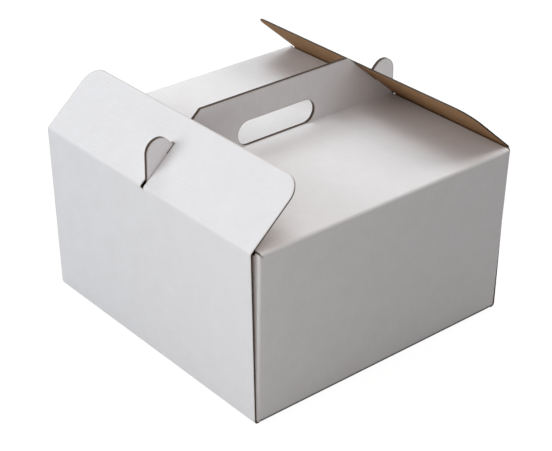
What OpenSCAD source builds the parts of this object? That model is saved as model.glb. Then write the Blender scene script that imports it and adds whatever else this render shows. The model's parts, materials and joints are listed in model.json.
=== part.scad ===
// Folding cake box with a carrying handle and two locking end flaps.
// The tray, the two lid panels and the two handle layers are one folded sheet of board.
// X runs along the handle, Y from front to back, Z up. The base stands on Z = 0.

/* [Board] */
// Thickness of the corrugated board
board_t = 1.5; // [1:0.1:2.5]
// Inner radius of the folds of the tray and the lid
fold_r = 1.5; // [0.5:0.1:3]
// Inner radius of the crease between a lid panel and its handle layer
crease_r = 0.5; // [0.2:0.1:1.5]

/* [Tray] */
// Width over the folded corner tabs
tray_w = 280; // [240:1:360]
// Depth of the base over its front and back folds
tray_d = 290; // [200:1:360]
// Height of the front and back walls
wall_h = 163.5; // [90:0.5:240]
// Outward lean of the front and back walls, in degrees
wall_lean = 1.5; // [0:0.05:3]
// Outward lean of the end walls, in degrees
end_lean = 1.05; // [0:0.05:3]
// Set-in of an end wall's cut edges from the front and back of the base
end_inset = 1.2; // [0:0.1:2.5]
// Clearance between an end wall and the corner tabs behind it, at the base
tab_gap = 0.3; // [0.1:0.1:2]
// Length of a corner tab behind the end wall
tab_l = 75; // [30:1:90]
// Trim of a corner tab at its top and bottom
tab_trim = 1.5; // [0.5:0.1:5]
// Radius of the free corners of a corner tab
tab_corner_r = 20; // [5:1:35]
// Depth to which each face of a corner fold and its tab is pressed below the wall's face
tab_press = 0.02; // [0.01:0.01:0.1]

/* [Lid] */
// Rise of each lid panel towards the handle, in degrees
lid_rise = 1; // [0:0.1:3]

/* [Handle] */
// Height of the handle above the top of the walls
handle_h = 52.5; // [46:0.1:60]
// Gap between the two handle layers
layer_gap = 0.2; // [0.1:0.05:0.6]
// Length of the hand hole
hole_l = 87; // [70:1:100]
// Height of the hand hole
hole_h = 23; // [18:1:30]
// Board left between the hand hole and the crease below it
hole_sill = 0.2; // [0:0.1:5]

/* [Locking ears] */
// Radius of an ear's round head
ear_r = 12.5; // [11:0.1:14]
// Distance of the head's centre inwards from the flap's fold
ear_in = 17; // [16:0.1:19]
// Height of the head's centre above the flap's fold
ear_up = 27.3; // [25:0.1:29]
// Slant of the head's inner side, in degrees below level
ear_slant = 45; // [35:1:55]
// Length of the neck, measured along the flap from its fold
ear_neck = 34; // [28:0.1:38]

/* [Locking flaps] */
// Length of a flap from its fold
flap_l = 69.5; // [60:0.5:80]
// Slope of a closed flap above level, in degrees
flap_slope = 41.5; // [39:0.1:44]
// Radius of a flap's free corners
flap_corner_r = 18; // [5:1:30]
// Clearance between a closed flap and the handle's sloping end
seat_gap = 0.3; // [0.1:0.05:0.6]
// Clearance between a flap's rounded fold edge and the end wall under it
hinge_gap = 0.3; // [0.1:0.05:0.6]
// Drop of the flap's fold axis below the top of the walls
hinge_drop = 0.3; // [0:0.1:2]
// Distance of the slot from the flap's fold axis
slot_start = 1.2; // [1:0.1:3]
// Clearance on each side of an ear in the slot of a flap
slot_gap = 0.3; // [0.1:0.05:0.6]

/* [Hidden] */
$fn = 96;
carton_white = "#e6e5e7";
flap_white = "#ededf0";

// Outer radius of a fold, and the half widths of the front wall and of an end wall
fold_out = fold_r + board_t;
wall_half = tray_w / 2 - fold_out;
end_half = tray_d / 2 - end_inset;

// Facets in the round of a fold and of an ear's head
fold_steps = 10;
ear_steps = 36;

// Run of a corner fold inside the board of the front wall
tab_lap = 1;

// Centres of the folds in the Y-Z section of the front half: base, lid and handle
wall_run = (wall_h - 2 * fold_out) / cos(wall_lean);
base_fold = [fold_out - tray_d / 2, fold_out];
lid_fold = base_fold + wall_run * [-sin(wall_lean), cos(wall_lean)];
handle_y = -layer_gap / 2 - board_t;
crease_y = handle_y - crease_r;
lid_run = (crease_y - lid_fold.x + (fold_out + crease_r) * sin(lid_rise)) / cos(lid_rise);
crease_z = lid_fold.y + (fold_out + crease_r) * cos(lid_rise) + lid_run * sin(lid_rise);
crease = [crease_y, crease_z];

// End wall in the X-Z section: centre of its base fold, and the axis of the flap's fold
end_fold = [tray_w / 2 + tab_gap + board_t - fold_out, fold_out];
end_out = [cos(end_lean), -sin(end_lean)];
end_rise = [sin(end_lean), cos(end_lean)];
mid_r = fold_r + board_t / 2;
hinge_z = wall_h - hinge_drop;
end_run = (hinge_z - end_fold.y - mid_r * end_out.y) / end_rise.y;
hinge_x = end_fold.x + mid_r * end_out.x + end_run * end_rise.x;

// Handle outline, in distances inwards and upwards from a flap's fold axis
seat = board_t / 2 + seat_gap;
seat_under = board_t / 2 + hinge_gap;
function seat_in(up) = (up * cos(flap_slope) + seat) / sin(flap_slope);
crease_up = crease_z - hinge_z;
handle_up = wall_h + handle_h - hinge_z;
foot_in = hinge_x - tray_w / 2;
ear_pair_t = 2 * board_t + layer_gap;
ear_reach = norm([ear_in, ear_up]) + ear_r;

// Points along an arc
function arc(centre, radius, from_a, to_a, steps) = [
    for (i = [0 : steps])
        let (a = from_a + (to_a - from_a) * i / steps)
            centre + radius * [cos(a), sin(a)]
];

// Points of a list in reverse
function reversed(points) = [for (i = [len(points) - 1 : -1 : 0]) points[i]];

// Face of the front half of the sheet at a depth below its outer face: from the middle of
// the base round the wall and along the lid panel to the foot of the handle
function front_face(depth) = concat(
    [[0, depth]],
    arc(base_fold, fold_out - depth, 270, 180 + wall_lean, fold_steps),
    arc(lid_fold, fold_out - depth, 180 + wall_lean, 90 + lid_rise, fold_steps),
    arc(crease, crease_r + depth, lid_rise - 90, 0, fold_steps),
    [[handle_y + depth, crease_z + crease_r]]
);

// Face of an end wall at a depth below its outer face, with its strip of the base
function end_face(depth) = concat(
    [[wall_half, depth]],
    arc(end_fold, fold_out - depth, -90, -end_lean, fold_steps),
    [end_fold + (fold_out - depth) * end_out + (end_run - seat_under) * end_rise]
);

// Face of a corner tab at a depth below its outer face, seen from above
function tab_face(depth) = concat(
    [[wall_half - tab_lap, depth - fold_out]],
    arc([wall_half, 0], fold_out - depth, -90, 0, fold_steps),
    [[tray_w / 2 - depth, tab_l]]
);

// Section in the Y-Z plane, run along X
module along_x(length) {
    rotate([90, 0, 90]) linear_extrude(length, center = true) children();
}

// Outline in the X-Z plane, run along Y
module along_y(length) {
    rotate([90, 0, 0]) linear_extrude(length, center = true) children();
}

// Repeats a part at the other side of the plane across an axis
module both_sides(axis) {
    children();
    mirror(axis) children();
}

// Section of the sheet between its outer and its inner face
module sheet_section(outer_face, inner_face) {
    polygon(concat(outer_face, reversed(inner_face)));
}

// Front half of the base with the front wall and its lid panel, up to the handle's foot
module front_half() {
    along_x(2 * wall_half) sheet_section(front_face(0), front_face(board_t));
}

// Outline of a corner tab in the Y-Z plane, with its free corners rounded
module tab_outline(height) {
    translate([-fold_out, 0]) square([fold_out + tab_l - tab_corner_r, height]);
    translate([-fold_out, tab_corner_r])
        square([fold_out + tab_l, height - 2 * tab_corner_r]);
    for (z = [tab_corner_r, height - tab_corner_r])
        translate([tab_l - tab_corner_r, z]) circle(tab_corner_r);
}

// Corner fold at the side of the front wall, and the tab behind the end wall
module corner_tab() {
    tab_h = wall_run - 2 * tab_trim;
    translate([0, base_fold.x, base_fold.y])
        rotate([wall_lean, 0, 0])
            translate([0, 0, tab_trim])
                intersection() {
                    linear_extrude(tab_h)
                        sheet_section(tab_face(tab_press), tab_face(board_t - tab_press));
                    translate([tray_w / 2, 0, 0]) along_x(4 * fold_out) tab_outline(tab_h);
                }
}

// Outline of a locking ear, drawn from the flap's fold axis with X pointing inwards
module ear_outline() {
    head = [ear_in, ear_up];
    round = arc(head, ear_r, 180, 90 - ear_slant, ear_steps);
    inner = round[ear_steps];
    slant = [cos(ear_slant), -sin(ear_slant)];
    across_flap = [-sin(flap_slope), cos(flap_slope)];
    tip = inner + slant * (across_flap * inner) / sin(flap_slope + ear_slant);
    tip_root = tip - 2 * seat * across_flap;
    polygon(concat([[foot_in, crease_up]], round, [tip, tip_root]));
}

// Ear with the space of the flap's board cut away behind its neck
module locking_ear() {
    difference() {
        ear_outline();
        rotate(flap_slope) translate([ear_neck, -3 * seat]) square([flap_l, 4 * seat]);
    }
}

// Outline of one handle layer in the X-Z plane
module handle_outline() {
    top_half = hinge_x - seat_in(handle_up);
    foot_half = hinge_x - seat_in(crease_up);
    polygon([
        [-foot_half, crease_z], [foot_half, crease_z],
        [top_half, wall_h + handle_h], [-top_half, wall_h + handle_h]
    ]);
    both_sides([1, 0, 0]) translate([-hinge_x, hinge_z]) locking_ear();
}

// Outline of the hand hole in the X-Z plane
module hole_outline() {
    end_x = (hole_l - hole_h) / 2;
    translate([0, crease_z + hole_sill + hole_h / 2]) {
        square([2 * end_x, hole_h], center = true);
        both_sides([1, 0, 0]) translate([end_x, 0]) circle(hole_h / 2);
    }
}

// Front handle layer, standing on the crease of its lid panel
module handle_layer() {
    translate([0, handle_y + board_t / 2, 0]) along_y(board_t) handle_outline();
}

// End wall with its base fold, on the side of positive X
module end_wall() {
    along_y(2 * end_half) sheet_section(end_face(0), end_face(board_t));
}

// The folded sheet: base, walls, corner tabs, lid panels and handle
module carton() {
    color(carton_white) {
        difference() {
            both_sides([0, 1, 0]) {
                front_half();
                handle_layer();
            }
            along_y(2 * ear_pair_t) hole_outline();
        }
        both_sides([0, 1, 0]) both_sides([1, 0, 0]) corner_tab();
        both_sides([1, 0, 0]) end_wall();
    }
}

// Flat outline of a flap, from its fold axis towards its free edge
module flap_outline() {
    slot_l = ear_reach + slot_gap - slot_start;
    slot_w = ear_pair_t + 2 * slot_gap;
    difference() {
        union() {
            translate([0, -end_half]) square([flap_l - flap_corner_r, 2 * end_half]);
            translate([0, flap_corner_r - end_half])
                square([flap_l, 2 * (end_half - flap_corner_r)]);
            both_sides([0, 1, 0])
                translate([flap_l - flap_corner_r, end_half - flap_corner_r])
                    circle(flap_corner_r);
        }
        translate([slot_start, -slot_w / 2]) square([slot_l, slot_w]);
    }
}

// Closed flap on the side of negative X, leaning inwards on the handle
module lock_flap() {
    translate([-hinge_x, 0, hinge_z]) rotate([0, -flap_slope, 0]) {
        linear_extrude(board_t, center = true) flap_outline();
        along_y(2 * end_half) circle(board_t / 2);
    }
}

// Left locking flap
module left_lock_flap() {
    color(flap_white) lock_flap();
}

// Right locking flap
module right_lock_flap() {
    color(flap_white) mirror([1, 0, 0]) lock_flap();
}

carton();
left_lock_flap();
right_lock_flap();
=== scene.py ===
import json
import math

import bpy
import numpy as np
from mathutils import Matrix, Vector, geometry


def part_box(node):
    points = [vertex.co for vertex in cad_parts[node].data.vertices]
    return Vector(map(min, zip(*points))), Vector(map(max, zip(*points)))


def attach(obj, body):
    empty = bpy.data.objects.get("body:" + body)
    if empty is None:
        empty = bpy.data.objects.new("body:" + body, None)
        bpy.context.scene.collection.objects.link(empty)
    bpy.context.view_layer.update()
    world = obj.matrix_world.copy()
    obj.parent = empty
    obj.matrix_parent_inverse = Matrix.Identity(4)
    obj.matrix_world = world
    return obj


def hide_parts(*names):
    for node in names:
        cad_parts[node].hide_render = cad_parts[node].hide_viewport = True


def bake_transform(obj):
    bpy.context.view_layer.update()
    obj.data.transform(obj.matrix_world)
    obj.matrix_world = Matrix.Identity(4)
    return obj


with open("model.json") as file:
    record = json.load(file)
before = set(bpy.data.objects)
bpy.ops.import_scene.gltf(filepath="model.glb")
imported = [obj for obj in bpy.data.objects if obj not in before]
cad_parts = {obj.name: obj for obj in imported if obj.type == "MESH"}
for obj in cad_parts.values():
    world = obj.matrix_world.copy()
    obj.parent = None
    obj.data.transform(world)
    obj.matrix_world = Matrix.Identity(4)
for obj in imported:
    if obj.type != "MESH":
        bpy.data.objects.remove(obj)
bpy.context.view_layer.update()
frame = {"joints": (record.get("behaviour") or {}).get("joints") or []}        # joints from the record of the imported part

# Wrapped sheet: the base, both long walls, both lid panels and both handle layers in one run.
# It is fine-flute corrugated board, white paper outside and brown paper inside, die-cut with its
# hand holes and locking ears, and creased across the flutes so that the two handle halves meet.
mm = 0.001
board_t = 1.5 * mm
liner_t = 0.2 * mm
medium_t = 0.18 * mm
flute_pitch = 3.4 * mm
fold_r = 1.5 * mm
crease_r = 0.5 * mm
tray_w = 280 * mm
tray_d = 290 * mm
wall_h = 163.5 * mm
wall_lean = 1.5
lid_rise = 1.0
layer_gap = 0.2 * mm
handle_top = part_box("carton")[1].z
hinge_x = abs(frame["joints"][0]["pos_m"][0])
hinge_z = frame["joints"][0]["pos_m"][2]

fold_out = fold_r + board_t
fold_mid = fold_r + board_t / 2
crease_mid = crease_r + board_t / 2
wall_half = tray_w / 2 - fold_out
fold_steps = 10


class FoldLine:
    """Middle of the board's thickness, along straight runs and round folds in one plane."""

    def __init__(self, start, heading, white_side, steps):
        self.white_side = white_side
        self.parts, self.folds = [], []
        point, angle, along = np.array(start, float), math.radians(heading), 0.0
        for run, turn, radius in steps:
            self.parts.append((along, point, angle, 0.0))
            point = self.follow(point, angle, 0.0, run)[0]
            along += run
            if turn:
                curve = math.copysign(1 / radius, turn)
                length = abs(math.radians(turn)) * radius
                self.parts.append((along, point, angle, curve))
                self.folds.append((along, along + length))
                point = self.follow(point, angle, curve, length)[0]
                angle += math.radians(turn)
                along += length
        self.length = along

    def follow(self, point, angle, curve, run):
        """Where a run of one curvature gets to, and its heading there."""
        run = np.asarray(run, float)
        turned = angle + curve * run
        if curve:
            step = np.stack([np.sin(turned) - np.sin(angle), np.cos(angle) - np.cos(turned)], -1) / curve
        else:
            step = run[..., None] * np.array([math.cos(angle), math.sin(angle)])
        return point + step, turned

    def at(self, along):
        """Points of the middle line, and the directions towards the white face."""
        points, headings = np.zeros((len(along), 2)), np.zeros(len(along))
        for begin, start, angle, curve in self.parts:
            here = (along >= begin) | (begin == 0)
            points[here], headings[here] = self.follow(start, angle, curve, along[here] - begin)
        outward = np.stack([-np.sin(headings), np.cos(headings)], 1) * self.white_side
        return points, outward

    def rows(self, spacing):
        """Places along the line that a mesh needs: every step of a fold and a few on each run."""
        found = [np.linspace(a, b, fold_steps + 1) for a, b in self.folds]
        ends = [0.0] + [x for fold in self.folds for x in fold] + [self.length]
        for a, b in zip(ends[0::2], ends[1::2]):
            found.append(np.linspace(a, b, max(2, math.ceil((b - a) / spacing) + 1)))
        return np.unique(np.round(np.concatenate(found), 7))


wall_run = (wall_h - 2 * fold_out) / math.cos(math.radians(wall_lean))
lid_fold_y = fold_out - tray_d / 2 - wall_run * math.sin(math.radians(wall_lean))
lid_fold_z = wall_h - fold_out
crease_y = -layer_gap / 2 - board_t - crease_r
rise_sin, rise_cos = math.sin(math.radians(lid_rise)), math.cos(math.radians(lid_rise))
lid_run = (crease_y - lid_fold_y + (fold_out + crease_r) * rise_sin) / rise_cos
crease_z = lid_fold_z + (fold_out + crease_r) * rise_cos + lid_run * rise_sin
half_line = FoldLine((0, board_t / 2), 180, 1, [
    (tray_d / 2 - fold_out, wall_lean - 90, fold_mid),
    (wall_run, lid_rise - 90 - wall_lean, fold_mid),
    (lid_run, 90 - lid_rise, crease_mid),
    (handle_top - crease_z, 0, 0),
])
(base_end, wall_start), (wall_end, lid_start), (lid_end, handle_start) = half_line.folds


def swell(value, low, high):
    """A smooth rise from nothing at low to one midway and back to nothing at high."""
    return np.sin(np.pi * np.clip((value - low) / (high - low), 0, 1))


wall_bow = 0.5 * mm
lid_sag = 0.6 * mm
right_splay = 2.0 * mm


def splayed(across, deep, high):
    """How far the right ends of the walls stand out, more towards the top, with their tabs."""
    share = np.clip(across / wall_half, 0, 1) * np.clip(2 * np.abs(deep) / tray_d, 0, 1)
    return right_splay * share * np.clip(high / wall_h, 0, 1)


def on_wrap(flat, depth):
    """Where points of the flat sheet lie on the folded box. The front half has positive along."""
    across, along = flat.T
    middle, outward = half_line.at(np.abs(along))
    width = swell(across, -wall_half, wall_half)
    bow = wall_bow * width * swell(np.abs(along), wall_start, wall_end)
    bow = bow - lid_sag * width * swell(np.abs(along), lid_start, lid_end)
    lifted = middle + outward * (board_t / 2 - depth + bow)[:, None]
    side = np.where(along < 0, -1, 1)
    deep, high = lifted[:, 0] * side, lifted[:, 1]
    return np.stack([across + splayed(across, deep, high), deep, high], 1)


def arc(centre, radius, first, last, spacing=0.8 * mm):
    """Points of an arc, angles in degrees."""
    count = math.ceil(abs(math.radians(last - first)) * radius / spacing)
    angles = np.radians(np.linspace(first, last, count + 1))
    return [(centre[0] + radius * math.cos(a), centre[1] + radius * math.sin(a)) for a in angles]


def walk(loop, spacing, rows=()):
    """Points round a closed outline, no further apart than a spacing, and one at every row."""
    found = []
    for a, b in zip(loop, np.roll(loop, -1, 0)):
        span = b - a
        parts = max(1, math.ceil(np.hypot(*span) / spacing))
        shares = list(np.arange(parts) / parts)
        if abs(span[1]) > 1e-9:
            shares += [s for s in (np.asarray(rows) - a[1]) / span[1] if 0 < s < 1 - 1e-4]
        shares = np.unique(np.round(shares, 6))
        shares = shares[np.diff(shares, prepend=-1) * np.hypot(*span) > 0.02 * mm]
        found.append(a + np.outer(shares, span))
    return np.concatenate(found)


def inside(points, loops):
    """Which points lie in the outline and outside its holes."""
    odd = np.zeros(len(points), bool)
    for loop in loops:
        for (ax, ay), (bx, by) in zip(loop, np.roll(loop, -1, 0)):
            if ay != by:
                level = (ay > points[:, 1]) != (by > points[:, 1])
                reach = (bx - ax) * (points[:, 1] - ay) / (by - ay) + ax
                odd ^= level & (points[:, 0] < reach)
    return odd


def inward(loop):
    """Unit directions from the points of an outline into the board, which lies on its left."""
    ahead, behind = np.roll(loop, -1, 0) - loop, loop - np.roll(loop, 1, 0)
    ahead /= np.hypot(*ahead.T)[:, None]
    behind /= np.hypot(*behind.T)[:, None]
    normal = np.stack([-(ahead + behind)[:, 1], (ahead + behind)[:, 0]], 1)
    return normal / np.maximum(np.hypot(*normal.T), 1e-6)[:, None]


def turned_to(loop, sign):
    """The outline in the order that has this sign of area."""
    loop = np.array(loop, float)
    after = np.roll(loop, -1, 0)
    area = np.sum(loop[:, 0] * after[:, 1] - after[:, 0] * loop[:, 1])
    return loop if area * sign > 0 else loop[::-1]


pinch = 0.16
pinch_reach = 1.4 * mm
wave_step = flute_pitch / 7
wave_inset = 0.05 * mm
wave_reach = 2.5 * mm
beside_cut = np.array([-1.0, -0.5, 0.5, 1.0]) * pinch_reach


def board(name, outline, holes, place, line, finishes, flute_axis, is_seam,
          wave_spacing=wave_step, grid=13 * mm):
    """A piece of the board as a mesh: two liners, and between them the waves of the medium at the
    cut edges. Points of the flat sheet are (across, along), and place puts them on the box."""
    loops = [turned_to(outline, 1)] + [turned_to(h, -1) for h in holes]
    flat_low, flat_high = loops[0].min(0), loops[0].max(0)
    rows = line.rows(grid)
    rows = np.unique(np.concatenate([rows, -rows]))
    rows = rows[(rows > flat_low[1]) & (rows < flat_high[1])]
    columns = np.linspace(flat_low[0], flat_high[0], math.ceil((flat_high[0] - flat_low[0]) / grid) + 1)

    rims = [walk(loop, 3 * mm, rows) for loop in loops]
    fine = [walk(loop, wave_spacing) for loop in loops]
    cut = np.concatenate([f[~is_seam(f)] for f in fine])

    def edge_distance(points):
        """Distance from the nearest cut edge."""
        nearest = np.full(len(points), 1.0)
        for chunk in np.array_split(np.arange(len(points)), max(1, len(points) // 500)):
            gap = points[chunk, None, :] - cut[None, :, :]
            nearest[chunk] = np.sqrt((gap ** 2).sum(2).min(1))
        return nearest

    grid_points = np.stack(np.meshgrid(columns, rows), -1).reshape(-1, 2)
    grid_points = grid_points[inside(grid_points, loops)]
    rim_points = np.concatenate(rims)
    clear = np.array([np.min(np.hypot(*(rim_points - p).T)) for p in grid_points])
    inner = [grid_points[(clear > 0.9 * mm) & ((edge_distance(grid_points) > 2 * mm))]]
    for offset in (0.5 * pinch_reach, pinch_reach):
        ring = np.concatenate([r + inward(r) * offset for r in rims])
        ring = ring[inside(ring, loops)]
        inner.append(ring[np.abs(edge_distance(ring) - offset) < 0.15 * offset])
    edges, begin = [], 0
    for r in rims:
        edges += [(begin + i, begin + (i + 1) % len(r)) for i in range(len(r))]
        begin += len(r)
    # The ends of every row of a fold lie just outside the sheet, so that the whole row is an edge.
    fold_rows = [y for y in rows if any(a - 1e-6 < abs(y) < b + 1e-6 for a, b in line.folds)]
    edges += [(begin + 2 * i, begin + 2 * i + 1) for i in range(len(fold_rows))]
    ends = [(x, y) for y in fold_rows for x in (flat_low[0] - mm, flat_high[0] + mm)]
    for y in fold_rows:
        met = [a[0] + (b[0] - a[0]) * (y - a[1]) / (b[1] - a[1]) for loop in loops
               for a, b in zip(loop, np.roll(loop, -1, 0)) if (a[1] > y) != (b[1] > y)]
        beside = np.array([(x + step, y) for x in met for step in beside_cut])
        beside = beside[inside(beside, loops)]
        inner.append(beside[edge_distance(beside) < 1.5 * pinch_reach])
    points = np.concatenate(rims + [np.reshape(ends, (-1, 2))] + inner)
    made = geometry.delaunay_2d_cdt([tuple(p / mm) for p in points], edges, [], 0, 2e-3)  # in mm
    flat = np.array([tuple(p) for p in made[0]]) * mm
    triangles = np.array(made[2])
    triangles = triangles[inside(flat[triangles].mean(1), loops)]
    corner = flat[triangles]
    turn = np.cross(corner[:, 1] - corner[:, 0], corner[:, 2] - corner[:, 0])
    triangles[turn < 0] = triangles[turn < 0][:, ::-1]
    used = np.unique(triangles)
    renumber = np.full(len(flat), -1)
    renumber[used] = np.arange(len(used))
    flat, triangles = flat[used], renumber[triangles]
    sides = np.concatenate([triangles[:, [0, 1]], triangles[:, [1, 2]], triangles[:, [2, 0]]])
    keys = {tuple(s) for s in sides.tolist()}
    border = np.array([s for s in keys if (s[1], s[0]) not in keys])

    def squeezed(depth, distance):
        """Depth in the board, which the cutting rule has pinched along its cut edges."""
        press = pinch * np.clip(1 - distance / pinch_reach, 0, 1) ** 2
        return board_t / 2 + (depth - board_t / 2) * (1 - press)

    verts, faces, kinds, flats, rim_values = [], [], [], [], []

    def add(points_flat, depth, distance, new_faces, kind):
        begin = sum(len(v) for v in verts)
        verts.append(place(points_flat, squeezed(depth, distance)))
        flats.append(points_flat)
        rim_values.append(np.clip(distance / pinch_reach, 0, 1))
        faces.append(new_faces + begin)
        kinds.append(np.full(len(new_faces), kind) if np.isscalar(kind) else kind)

    distance = edge_distance(flat)
    count = len(flat)
    for top, bottom, face_top, face_bottom in (
            (0.0, liner_t, 0, 2), (board_t - liner_t, board_t, 2, 1)):
        both = np.concatenate([flat, flat])
        depth = np.concatenate([np.full(count, top), np.full(count, bottom)])
        tri_faces = np.concatenate([triangles, triangles[:, ::-1] + count])
        kind = np.concatenate([np.full(len(triangles), face_top), np.full(len(triangles), face_bottom)])
        a, b = border[:, 0], border[:, 1]
        side = np.concatenate([np.stack([b, a, a + count], 1), np.stack([b, a + count, b + count], 1)])
        kind = np.concatenate([kind, np.full(len(side), 2)])
        add(both, depth, np.concatenate([distance, distance]), np.concatenate([tri_faces, side]), kind)

    # The medium: a wavy strip along each cut edge, with a skin on both faces and at both ends.
    insets = np.linspace(wave_inset, wave_reach, 6)
    swing = (board_t - 2 * liner_t - medium_t) / 2 + 0.01 * mm
    for loop in fine:
        into = inward(loop)
        shown = ~is_seam(loop)
        grid_flat = loop[:, None, :] + into[:, None, :] * insets[None, :, None]
        wave = board_t / 2 + swing * np.sin(2 * np.pi * grid_flat[..., flute_axis] / flute_pitch)
        n, m = len(loop), len(insets)
        i = np.flatnonzero(shown & np.roll(shown, -1))
        after = (i + 1) % n
        quads = []
        for j in range(m - 1):
            a, b, c, d = i * m + j, after * m + j, after * m + j + 1, i * m + j + 1
            quads += [np.stack([a, b, c], 1), np.stack([a, c, d], 1)]
        skin = np.concatenate(quads)
        under = skin[:, ::-1] + n * m
        ends = []
        for j, order in ((0, 1), (m - 1, -1)):
            a, b = i * m + j, after * m + j
            end = [np.stack([b, a, a + n * m], 1), np.stack([b, a + n * m, b + n * m], 1)]
            ends += [q[:, ::order] for q in end]
        points_flat = np.concatenate([grid_flat.reshape(-1, 2)] * 2)
        depth = np.concatenate([(wave - medium_t / 2).ravel(), (wave + medium_t / 2).ravel()])
        reach = np.tile(insets, 2 * n)
        add(points_flat, depth, reach, np.concatenate([skin, under] + ends), 2)

    verts, faces = np.concatenate(verts), np.concatenate(faces)
    kinds, flats = np.concatenate(kinds), np.concatenate(flats)
    a, b, c = verts[faces[0]]
    white_way = place(flat[triangles[0]], np.zeros(3)) - place(flat[triangles[0]], np.full(3, board_t))
    if np.dot(np.cross(b - a, c - a), white_way[0]) < 0:
        faces = faces[:, ::-1]

    mesh = bpy.data.meshes.new(name)
    mesh.from_pydata(verts.tolist(), [], faces.tolist())
    mesh.attributes.new("flat", "FLOAT_VECTOR", "POINT").data.foreach_set(
        "vector", np.column_stack([flats, np.zeros(len(flats))]).astype(np.float32).ravel())
    mesh.attributes.new("rim", "FLOAT", "POINT").data.foreach_set(
        "value", np.concatenate(rim_values).astype(np.float32))
    for finish in finishes:
        mesh.materials.append(finish)
    mesh.polygons.foreach_set("material_index", kinds.astype(np.int32))
    mesh.polygons.foreach_set("use_smooth", np.ones(len(faces), bool))
    mesh.set_sharp_from_angle(angle=math.radians(35))
    mesh.update()
    piece = bpy.data.objects.new(name, mesh)
    bpy.context.scene.collection.objects.link(piece)
    return piece


class Signal:
    """A socket in a material's node tree. Sums on signals add Math nodes to the tree."""

    def __init__(self, tree, socket=None):
        self.tree, self.socket = tree, socket

    def node(self, kind, settings, inputs, output=0):
        """Adds a node, makes its settings, fills its inputs and gives one of its outputs."""
        made = self.tree.nodes.new(kind)
        for name, value in settings.items():
            setattr(made, name, value)
        for name, value in inputs.items():
            if isinstance(value, Signal):
                self.tree.links.new(value.socket, made.inputs[name])
            else:
                made.inputs[name].default_value = value
        return Signal(self.tree, made.outputs[output] if made.outputs else None)

    def maths(self, operation, first, second=0.0):
        return self.node("ShaderNodeMath", {"operation": operation}, {0: first, 1: second})

    def __add__(self, other):
        return self.maths("ADD", self, other)

    def __sub__(self, other):
        return self.maths("SUBTRACT", self, other)

    def __rsub__(self, other):
        return self.maths("SUBTRACT", other, self)

    def __mul__(self, other):
        return self.maths("MULTIPLY", self, other)

    __radd__, __rmul__ = __add__, __mul__

    def mixed(self, dark, light):
        """A colour between two, by this signal."""
        settings = {"data_type": "RGBA", "clamp_factor": True}
        return self.node("ShaderNodeMix", settings, {0: self, 6: dark, 7: light}, 2)


def new_finish(name):
    """An empty material and the start of its nodes."""
    material = bpy.data.materials.new(name)
    material.use_nodes = True
    material.node_tree.nodes.clear()
    return material, Signal(material.node_tree)


def from_srgb(red, green, blue):
    """A colour as it reads on a screen, from 0 to 255, as the shader's linear one."""
    linear = [c / 12.92 if c <= 0.04045 else ((c + 0.055) / 1.055) ** 2.4
              for c in (red / 255, green / 255, blue / 255)]
    return (*linear, 1)


def flute_lines(start, flute_axis):
    """Flat place on the sheet, and a wave from -1 to 1 across its flutes."""
    place = start.node("ShaderNodeAttribute", {"attribute_name": "flat"}, {}, "Vector")
    parts = [start.node("ShaderNodeSeparateXYZ", {}, {0: place}, i) for i in (0, 1)]
    angle = parts[flute_axis] * (2 * math.pi / flute_pitch)
    return place, parts, start.maths("SINE", angle)


def clouds(start, place, scale, detail, stretch=(1, 1, 1)):
    """Noise from 0 to 1 over the flat sheet."""
    moved = start.node("ShaderNodeVectorMath", {"operation": "MULTIPLY"}, {0: place, 1: stretch})
    return start.node("ShaderNodeTexNoise", {}, {
        "Vector": moved, "Scale": scale, "Detail": detail, "Roughness": 0.6}, "Fac")


def white_paper(name, flute_axis, dark, light, shaded_crease_at=None):
    """Outer liner: machine-made white paper, matt, with faint clouds, fibres and flute lines. The
    pair of creases at one distance along the sheet can get a band of painted dark grey shade."""
    material, start = new_finish(name)
    place, parts, wave = flute_lines(start, flute_axis)
    long_way = (1.0, 0.25, 1.0) if flute_axis == 0 else (0.25, 1.0, 1.0)
    cloud = clouds(start, place, 45.0, 3.0)
    mottle = clouds(start, place, 420.0, 2.0, long_way)
    fibre = clouds(start, place, 2600.0, 2.0, long_way)
    rim = start.node("ShaderNodeAttribute", {"attribute_name": "rim"}, {}, "Fac")
    tone = 0.5 + 0.55 * (cloud - 0.5) + 0.5 * (mottle - 0.5) + 0.45 * (fibre - 0.5) + 0.04 * wave
    colour = tone.mixed(dark, light)
    scuff = (1 - rim) * (0.25 + 0.5 * fibre)
    colour = scuff.mixed(colour, from_srgb(168, 150, 134))
    # Painted shade: a dark grey band along these creases, in place of the shadow under the bottom folds
    # where they meet the floor.
    if shaded_crease_at is not None:
        off_crease = start.maths("ABSOLUTE", start.maths("ABSOLUTE", parts[1]) - shaded_crease_at)
        crease_shade = (1.15 - off_crease * (1 / shade_band_half)) * (0.7 + 0.6 * mottle)
        colour = crease_shade.mixed(colour, from_srgb(82, 76, 76))
    height = 0.35 * wave + 0.35 * mottle + 0.3 * fibre
    relief = start.node("ShaderNodeBump", {}, {
        "Strength": 0.5, "Distance": 0.03 * mm, "Height": height}, "Normal")
    start.node("ShaderNodeOutputMaterial", {}, {"Surface": start.node("ShaderNodeBsdfPrincipled", {}, {
        "Base Color": colour, "Roughness": 0.58 + 0.14 * (mottle - 0.5),
        "Specular IOR Level": 0.32, "Normal": relief})})
    return material


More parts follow.
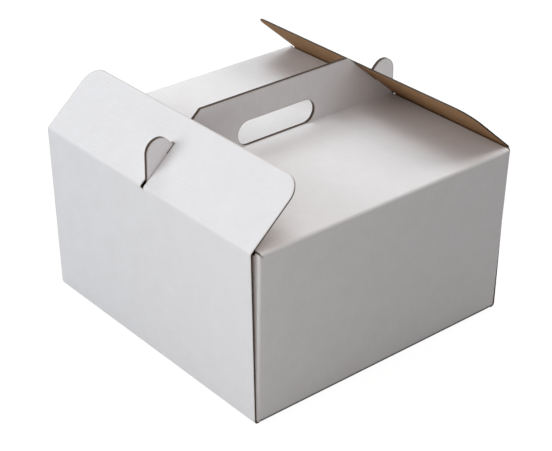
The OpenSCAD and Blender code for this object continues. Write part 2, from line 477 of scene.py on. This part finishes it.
def brown_paper(name, flute_axis, dark, light):
    """Inner liner: unbleached paper with darker fibres and flute lines that show more."""
    material, start = new_finish(name)
    place, _, wave = flute_lines(start, flute_axis)
    long_way = (1.0, 0.2, 1.0) if flute_axis == 0 else (0.2, 1.0, 1.0)
    cloud = clouds(start, place, 60.0, 3.0)
    mottle = clouds(start, place, 500.0, 3.0, long_way)
    fibre = clouds(start, place, 3000.0, 2.0, long_way)
    tone = 0.5 + 0.6 * (cloud - 0.5) + 0.9 * (mottle - 0.5) + 0.9 * (fibre - 0.5) + 0.1 * wave
    height = 0.5 * wave + 0.4 * mottle + 0.4 * fibre
    relief = start.node("ShaderNodeBump", {}, {
        "Strength": 0.6, "Distance": 0.05 * mm, "Height": height}, "Normal")
    start.node("ShaderNodeOutputMaterial", {}, {"Surface": start.node("ShaderNodeBsdfPrincipled", {}, {
        "Base Color": tone.mixed(dark, light), "Roughness": 0.72 + 0.14 * (mottle - 0.5),
        "Specular IOR Level": 0.1, "Normal": relief})})
    return material


def cut_paper(name):
    """Cut edges of the liners and the wavy medium: raw brown fibre, rough and darker."""
    material, start = new_finish(name)
    place = start.node("ShaderNodeAttribute", {"attribute_name": "flat"}, {}, "Vector")
    fibre = clouds(start, place, 2200.0, 3.0)
    relief = start.node("ShaderNodeBump", {}, {
        "Strength": 0.5, "Distance": 0.05 * mm, "Height": fibre}, "Normal")
    colour = (0.2 + 1.2 * (fibre - 0.2)).mixed(from_srgb(74, 67, 63), from_srgb(122, 112, 105))
    start.node("ShaderNodeOutputMaterial", {}, {"Surface": start.node("ShaderNodeBsdfPrincipled", {}, {
        "Base Color": colour, "Roughness": 0.9, "Specular IOR Level": 0.15, "Normal": relief})})
    return material


# Width of the painted shade band, and how far before the start of the walls its middle lies: it darkens
# the bottom folds of the front and back walls.
shade_band_half = 2.0 * mm
shade_band_below = 1.0 * mm
white_dark, white_light = from_srgb(222, 219, 220), from_srgb(236, 235, 237)
brown_dark, brown_light = from_srgb(130, 97, 67), from_srgb(166, 129, 93)
edge_finish = cut_paper("cut_edge_paper")
# The wrap's white liner gets painted shade along the bottom folds of the front and back walls.
wrap_finishes = [
    white_paper("white_liner_wrap", 0, white_dark, white_light, wall_start - shade_band_below),
    brown_paper("brown_liner_wrap", 0, brown_dark, brown_light),
    edge_finish,
]

hole_l = 87 * mm
hole_h = 23 * mm
hole_sill = 0.2 * mm
ear_r = 12.5 * mm
ear_in = 17 * mm
ear_up = 27.3 * mm
ear_slant = 45.0
ear_neck = 34 * mm
flap_slope = 41.5
seat = board_t / 2 + 0.3 * mm

slope_sin, slope_cos = math.sin(math.radians(flap_slope)), math.cos(math.radians(flap_slope))
slant_sin, slant_cos = math.sin(math.radians(ear_slant)), math.cos(math.radians(ear_slant))


def off_hinge(inwards, up):
    """Flat place of a point of the handle, from its distance inwards and up from a flap's fold."""
    return hinge_x - inwards, handle_start + hinge_z + up - crease_z


def on_slope(run, above):
    """Distances inwards and up of a point on a run along the closed flap, and above its middle."""
    return run * slope_cos - above * slope_sin, run * slope_sin + above * slope_cos


head = arc((ear_in, ear_up), ear_r, 180, 90 - ear_slant)
above_flap = head[-1][1] * slope_cos - head[-1][0] * slope_sin - seat
slide = above_flap / (slope_sin * slant_cos + slope_cos * slant_sin)
ear_tip = (head[-1][0] + slide * slant_cos, head[-1][1] - slide * slant_sin)
handle_rise = handle_top - hinge_z
end_reach = 1.3 * mm      # the lid and the base go this far over the tabs at the corners
corner_gap = 0.25 * mm    # cut between a tab and the folds above and below it
mitre = [(fold_out * math.sin(a) - corner_gap, fold_mid * a) for a in np.linspace(
    math.asin(corner_gap / fold_out), math.asin((end_reach + corner_gap) / fold_out), 5)]
base_reach_from, base_reach_to = math.radians(47), math.radians(44)
side_edge = [(wall_half, 0), (wall_half, wall_start - fold_mid * base_reach_from),
             (wall_half + end_reach, wall_start - fold_mid * base_reach_to)]
side_edge += [(wall_half + out, wall_start - round_by) for out, round_by in reversed(mitre)]
side_edge += [(wall_half + out, wall_end + round_by) for out, round_by in mitre]
side_edge += [(wall_half + end_reach, handle_start), off_hinge(hinge_x - tray_w / 2, crease_z - hinge_z)]
side_edge += [off_hinge(*p) for p in head + [ear_tip, on_slope(ear_neck, seat), on_slope(ear_neck, -seat)]]
side_edge.append(off_hinge((handle_rise * slope_cos + seat) / slope_sin, handle_rise))
front_edge = side_edge + [(-x, s) for x, s in reversed(side_edge)]
wrap_outline = front_edge[:-1] + [(-x, -s) for x, s in front_edge[:-1]]
hole_mid = handle_start + hole_sill + hole_h / 2
hole_end = (hole_l - hole_h) / 2
hand_hole = arc((hole_end, hole_mid), hole_h / 2, -90, 90)
hand_hole += arc((-hole_end, hole_mid), hole_h / 2, 90, 270)


def wrap_seam(flat):
    """Where the sheet goes on into the end walls and the corner tabs, so that it has no cut edge."""
    along = np.abs(flat[:, 1])
    beside_base = along <= base_end
    beside_wall = (along >= wall_start + corner_gap) & (along <= wall_end - corner_gap)
    return (np.abs(flat[:, 0]) > wall_half - 0.01 * mm) & (np.abs(flat[:, 0]) < wall_half + 0.01 * mm) \
        & (beside_base | beside_wall)


wrap = board("tray_lid_and_handle", wrap_outline, [hand_hole, [(x, -s) for x, s in hand_hole]],
             on_wrap, half_line, wrap_finishes, 0, wrap_seam)
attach(wrap, "carton")
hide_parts("carton")

# End walls: folded up from the base and outside the corner tabs, of the same sheet, with the
# flutes level. Each stops just below the fold line of its locking flap, and leans out slightly.
end_lean = 1.05
end_inset = 1.2 * mm
tab_gap = 0.3 * mm
flap_l = 69.5 * mm
strip_half = 3 * mm
end_half = tray_d / 2 - end_inset

end_fold_x = tray_w / 2 + tab_gap + board_t - fold_out
lean_sin, lean_cos = math.sin(math.radians(end_lean)), math.cos(math.radians(end_lean))
end_run = (hinge_z - fold_out + fold_mid * lean_sin) / lean_cos
flap_turn = 90 - flap_slope + end_lean
turn_in = fold_mid * math.tan(math.radians(flap_turn / 2))
end_line = FoldLine((wall_half, board_t / 2), 0, -1, [
    (end_fold_x - wall_half, 90 - end_lean, fold_mid),
    (end_run - turn_in, flap_turn, fold_mid),
    (flap_l - turn_in, 0, 0),
])
hinge_along = sum(end_line.folds[1]) / 2
flap_after = end_line.folds[1][1] - turn_in
end_finishes = [
    white_paper("white_liner_ends", 1, white_dark, white_light),
    brown_paper("brown_liner_ends", 1, brown_dark, brown_light),
    edge_finish,
]
sides = {"left": -1, "right": 1}
end_bow = 0.5 * mm


def on_end(side_name):
    """Placing of the end wall and the flap of one side."""
    def place(flat, depth):
        across, along = flat.T
        middle, outward = end_line.at(along)
        (_, end_start), (end_stop, _) = end_line.folds
        bow = end_bow * swell(along, end_start, end_stop) * swell(across, -end_half, end_half)
        lifted = middle + outward * (board_t / 2 - depth + bow)[:, None]
        return np.stack([lifted[:, 0] * sides[side_name], across, lifted[:, 1]], 1)
    return place


def band(low, high):
    """Outline of the end panel between two places along it."""
    return [(-end_half, low), (end_half, low), (end_half, high), (-end_half, high)]


wall_top = hinge_along - strip_half
flap_foot = hinge_along + strip_half


def at_ends(low, high):
    """Seams of a stretch of the end panel at its two ends, where the board goes on."""
    return lambda flat: (flat[:, 1] < low + 0.01 * mm) | (flat[:, 1] > high - 0.01 * mm)


for side_name in sides:
    end_wall = board(f"{side_name}_end_wall", band(0, wall_top), [], on_end(side_name), end_line,
                     end_finishes, 1, at_ends(0, wall_top))
    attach(end_wall, "carton")
    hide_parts("carton")

# Locking flaps: the far ends of the end walls, folded in over the handle's sloping ends. Each has
# round corners and a slot that is pushed over the pair of ears. The creased strip at its foot is
# the same board.
flap_corner_r = 18 * mm
slot_gap = 0.3 * mm
slot_back = 1.2 * mm
slot_end = flap_after + math.hypot(ear_in, ear_up) + ear_r + slot_gap
slot_half = board_t + layer_gap / 2 + slot_gap


def slotted(low, high, corners=()):
    """Outline of a stretch of the flap with the part of the slot that lies in it."""
    start, end = max(low, hinge_along - slot_back), min(high, slot_end)
    edge = [(-end_half, low)]
    if start == low:
        edge += [(-slot_half, low), (-slot_half, end), (slot_half, end), (slot_half, low)]
    edge.append((end_half, low))
    edge += list(corners) or [(end_half, high)]
    if start > low:
        edge += [(slot_half, high), (slot_half, start), (-slot_half, start), (-slot_half, high)]
    if not corners:
        edge.append((-end_half, high))
    return edge


round_x, round_s = end_half - flap_corner_r, end_line.length - flap_corner_r
flap_corners = arc((round_x, round_s), flap_corner_r, 0, 90)
flap_corners += arc((-round_x, round_s), flap_corner_r, 90, 180)
for side_name in sides:
    body = f"{side_name}_flap"
    node = f"{side_name}_lock_flap"
    place = on_end(side_name)
    panel = board(f"{side_name}_flap_panel", slotted(flap_foot, end_line.length, flap_corners), [],
                  place, end_line, end_finishes, 1,
                  lambda flat: (flat[:, 1] < flap_foot + 0.01 * mm) & (np.abs(flat[:, 0]) > slot_half))
    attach(panel, body)
    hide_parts(node)
    strip = board(f"{side_name}_fold_strip", slotted(wall_top, flap_foot), [], place, end_line,
                  end_finishes, 1, at_ends(wall_top, flap_foot), grid=6 * mm)
    ends = place(np.array([[0, wall_top + 0.4 * mm], [0, flap_foot - 0.4 * mm]]), np.full(2, board_t / 2))
    tuple(ends[0])
    tuple(ends[1])
    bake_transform(strip)
    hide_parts(node)

# Corner tabs: folded round from the sides of the front and back walls and held behind the end
# walls, of the same sheet, with round free corners. At the corners they come up to the folds of the
# lid and the base, and step back behind them. They keep the box square without glue.
tab_l = 75 * mm
tab_trim = 1.5 * mm
tab_corner_r = 20 * mm
tab_line = FoldLine((wall_half, -fold_mid), 0, -1, [(0, 90, fold_mid), (tab_l, 0, 0)])
tab_fold_end = tab_line.folds[0][1]
tab_h = wall_run - 2 * tab_trim
tab_step_from, tab_step_to = 6 * mm, 10 * mm
foot_step_from, foot_step_to = 2.6 * mm, 8 * mm


def on_corner(side, front):
    """Placing of the tab of one corner. Across is the height along the leaning wall."""
    lean = math.radians(wall_lean)

    def place(flat, depth):
        across, along = flat.T
        middle, outward = tab_line.at(along)
        x, out = (middle + outward * (board_t / 2 - depth)[:, None]).T
        up = across + tab_trim
        y = fold_out - tray_d / 2 + out * math.cos(lean) - up * math.sin(lean)
        z = fold_out + out * math.sin(lean) + up * math.cos(lean)
        x = x * side
        return np.stack([x + splayed(np.clip(x, 0, wall_half), tray_d, z), y * front, z], 1)
    return place


tab_far = tab_fold_end + tab_l
tab_outline = [(wall_run - tab_trim + fold_out * math.sin(a) - corner_gap, fold_mid * a)
               for a in np.radians(np.arange(0, 91, 15))]
tab_outline += [(tab_h + tab_trim + fold_out - 2 * corner_gap, tab_step_from),
                (tab_h + 1 * mm, (tab_step_from + tab_step_to) / 2 - 0.5 * mm), (tab_h, tab_step_to)]
tab_outline += arc((tab_h - tab_corner_r, tab_far - tab_corner_r), tab_corner_r, 0, 90) \
    + arc((tab_corner_r, tab_far - tab_corner_r), tab_corner_r, 90, 180)
tab_outline += [(0, foot_step_to), (-tab_trim - 0.5 * mm, foot_step_from)]
tab_outline += [(corner_gap - tab_trim - fold_out * math.sin(a), fold_mid * a)
                for a in np.radians(np.arange(45, -1, -15))]
for side_name, side in sides.items():
    for place_name, front in (("front", 1), ("back", -1)):
        tab = board(f"{side_name}_{place_name}_corner_tab", tab_outline, [], on_corner(side, front),
                    tab_line, end_finishes, 1, lambda flat: flat[:, 1] < 0.01 * mm, wave_spacing=0.8 * mm)
        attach(tab, "carton")
        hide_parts("carton")

# Floor and light: a plain white floor that goes on into a white background and keeps the box's
# soft shadow, a large soft lamp from the left, one from the right that throws the flap's shadow on
# the lid, and weaker ones for the top, the back, the front and the foot of the front wall.
floor_half = 3.0
floor_drop = 0.2 * mm
mesh = bpy.data.meshes.new("floor")
mesh.from_pydata([(-floor_half, -floor_half, -floor_drop), (floor_half, -floor_half, -floor_drop),
                  (floor_half, floor_half, -floor_drop), (-floor_half, floor_half, -floor_drop)],
                 [], [(0, 1, 2, 3)])
floor = bpy.data.objects.new("floor", mesh)
bpy.context.scene.collection.objects.link(floor)
material, start = new_finish("white_floor")
matt = start.node("ShaderNodeBsdfDiffuse", {}, {"Color": (0.5, 0.5, 0.5, 1)})
glow = start.node("ShaderNodeEmission", {}, {"Color": (1, 1, 1, 1), "Strength": 1.24})
camera_ray = start.node("ShaderNodeLightPath", {}, {}, "Is Camera Ray")
start.node("ShaderNodeOutputMaterial", {}, {"Surface": start.node("ShaderNodeMixShader", {}, {
    0: 0.75 * camera_ray, 1: matt, 2: glow})})
mesh.materials.append(material)

world = bpy.data.worlds.new("surroundings")
world.use_nodes = True
world.node_tree.nodes.clear()
start = Signal(world.node_tree)
ambient = start.node("ShaderNodeBackground", {}, {"Color": (1, 1, 1, 1), "Strength": 0.225})
white = start.node("ShaderNodeBackground", {}, {"Color": (1, 1, 1, 1), "Strength": 1.0})
camera_ray = start.node("ShaderNodeLightPath", {}, {}, "Is Camera Ray")
glossy_ray = start.node("ShaderNodeLightPath", {}, {}, "Is Glossy Ray")
start.node("ShaderNodeOutputWorld", {}, {"Surface": start.node("ShaderNodeMixShader", {}, {
    0: start.maths("MAXIMUM", camera_ray, glossy_ray), 1: ambient, 2: white})})
bpy.context.scene.world = world


def soft_lamp(name, place, aim, size, power, colour):
    """A square lamp with a soft edge that looks at a point of the box."""
    data = bpy.data.lights.new(name, "AREA")
    data.shape, data.size, data.energy, data.color = "SQUARE", size, power, colour
    lamp = bpy.data.objects.new(name, data)
    lamp.location = place
    lamp.visible_camera = False
    way = np.array(aim) - np.array(place)
    lamp.rotation_euler = (math.atan2(math.hypot(way[0], way[1]), -way[2]), 0,
                           math.atan2(way[1], way[0]) - math.pi / 2)
    bpy.context.scene.collection.objects.link(lamp)


soft_lamp("left_lamp", (-1.87, 0.87, 0.85), (0, 0, 0.1), 1.3, 24.5, (0.91, 0.965, 1.0))
soft_lamp("right_lamp", (1.06, -0.2, 1.16), (0, 0, 0.1), 0.9, 7.6, (1.0, 0.96, 0.92))
soft_lamp("top_lamp", (0, 0.01, 1.6), (0, 0, 0.1), 0.9, 3.3, (1.0, 0.97, 0.96))
soft_lamp("back_lamp", (0.3, 0.6, 1.2), (0, 0, 0.1), 0.6, 4.9, (0.92, 0.985, 1.0))
soft_lamp("front_lamp", (-0.5, -0.5, 0.8), (0, 0, 0.1), 0.5, 0.85, (1.0, 0.9, 0.88))
soft_lamp("low_lamp", (-0.6, -0.45, 0.16), (0, 0, 0.1), 0.3, 0.54, (1.0, 0.95, 0.91))

# Camera: the photograph's viewpoint, from the front left and above, with a long lens.
camera_data = bpy.data.cameras.new("camera")
camera_data.sensor_fit = "HORIZONTAL"
camera_data.sensor_width = 36
camera_data.lens = 101.65
camera = bpy.data.objects.new("camera", camera_data)
camera.location = (-0.786765, -0.946515, 0.775868)
camera.rotation_euler = (math.radians(90 - 29.713), 0, math.radians(-39.741))
bpy.context.scene.collection.objects.link(camera)
bpy.context.scene.camera = camera
bpy.context.scene.view_settings.view_transform = "Standard"
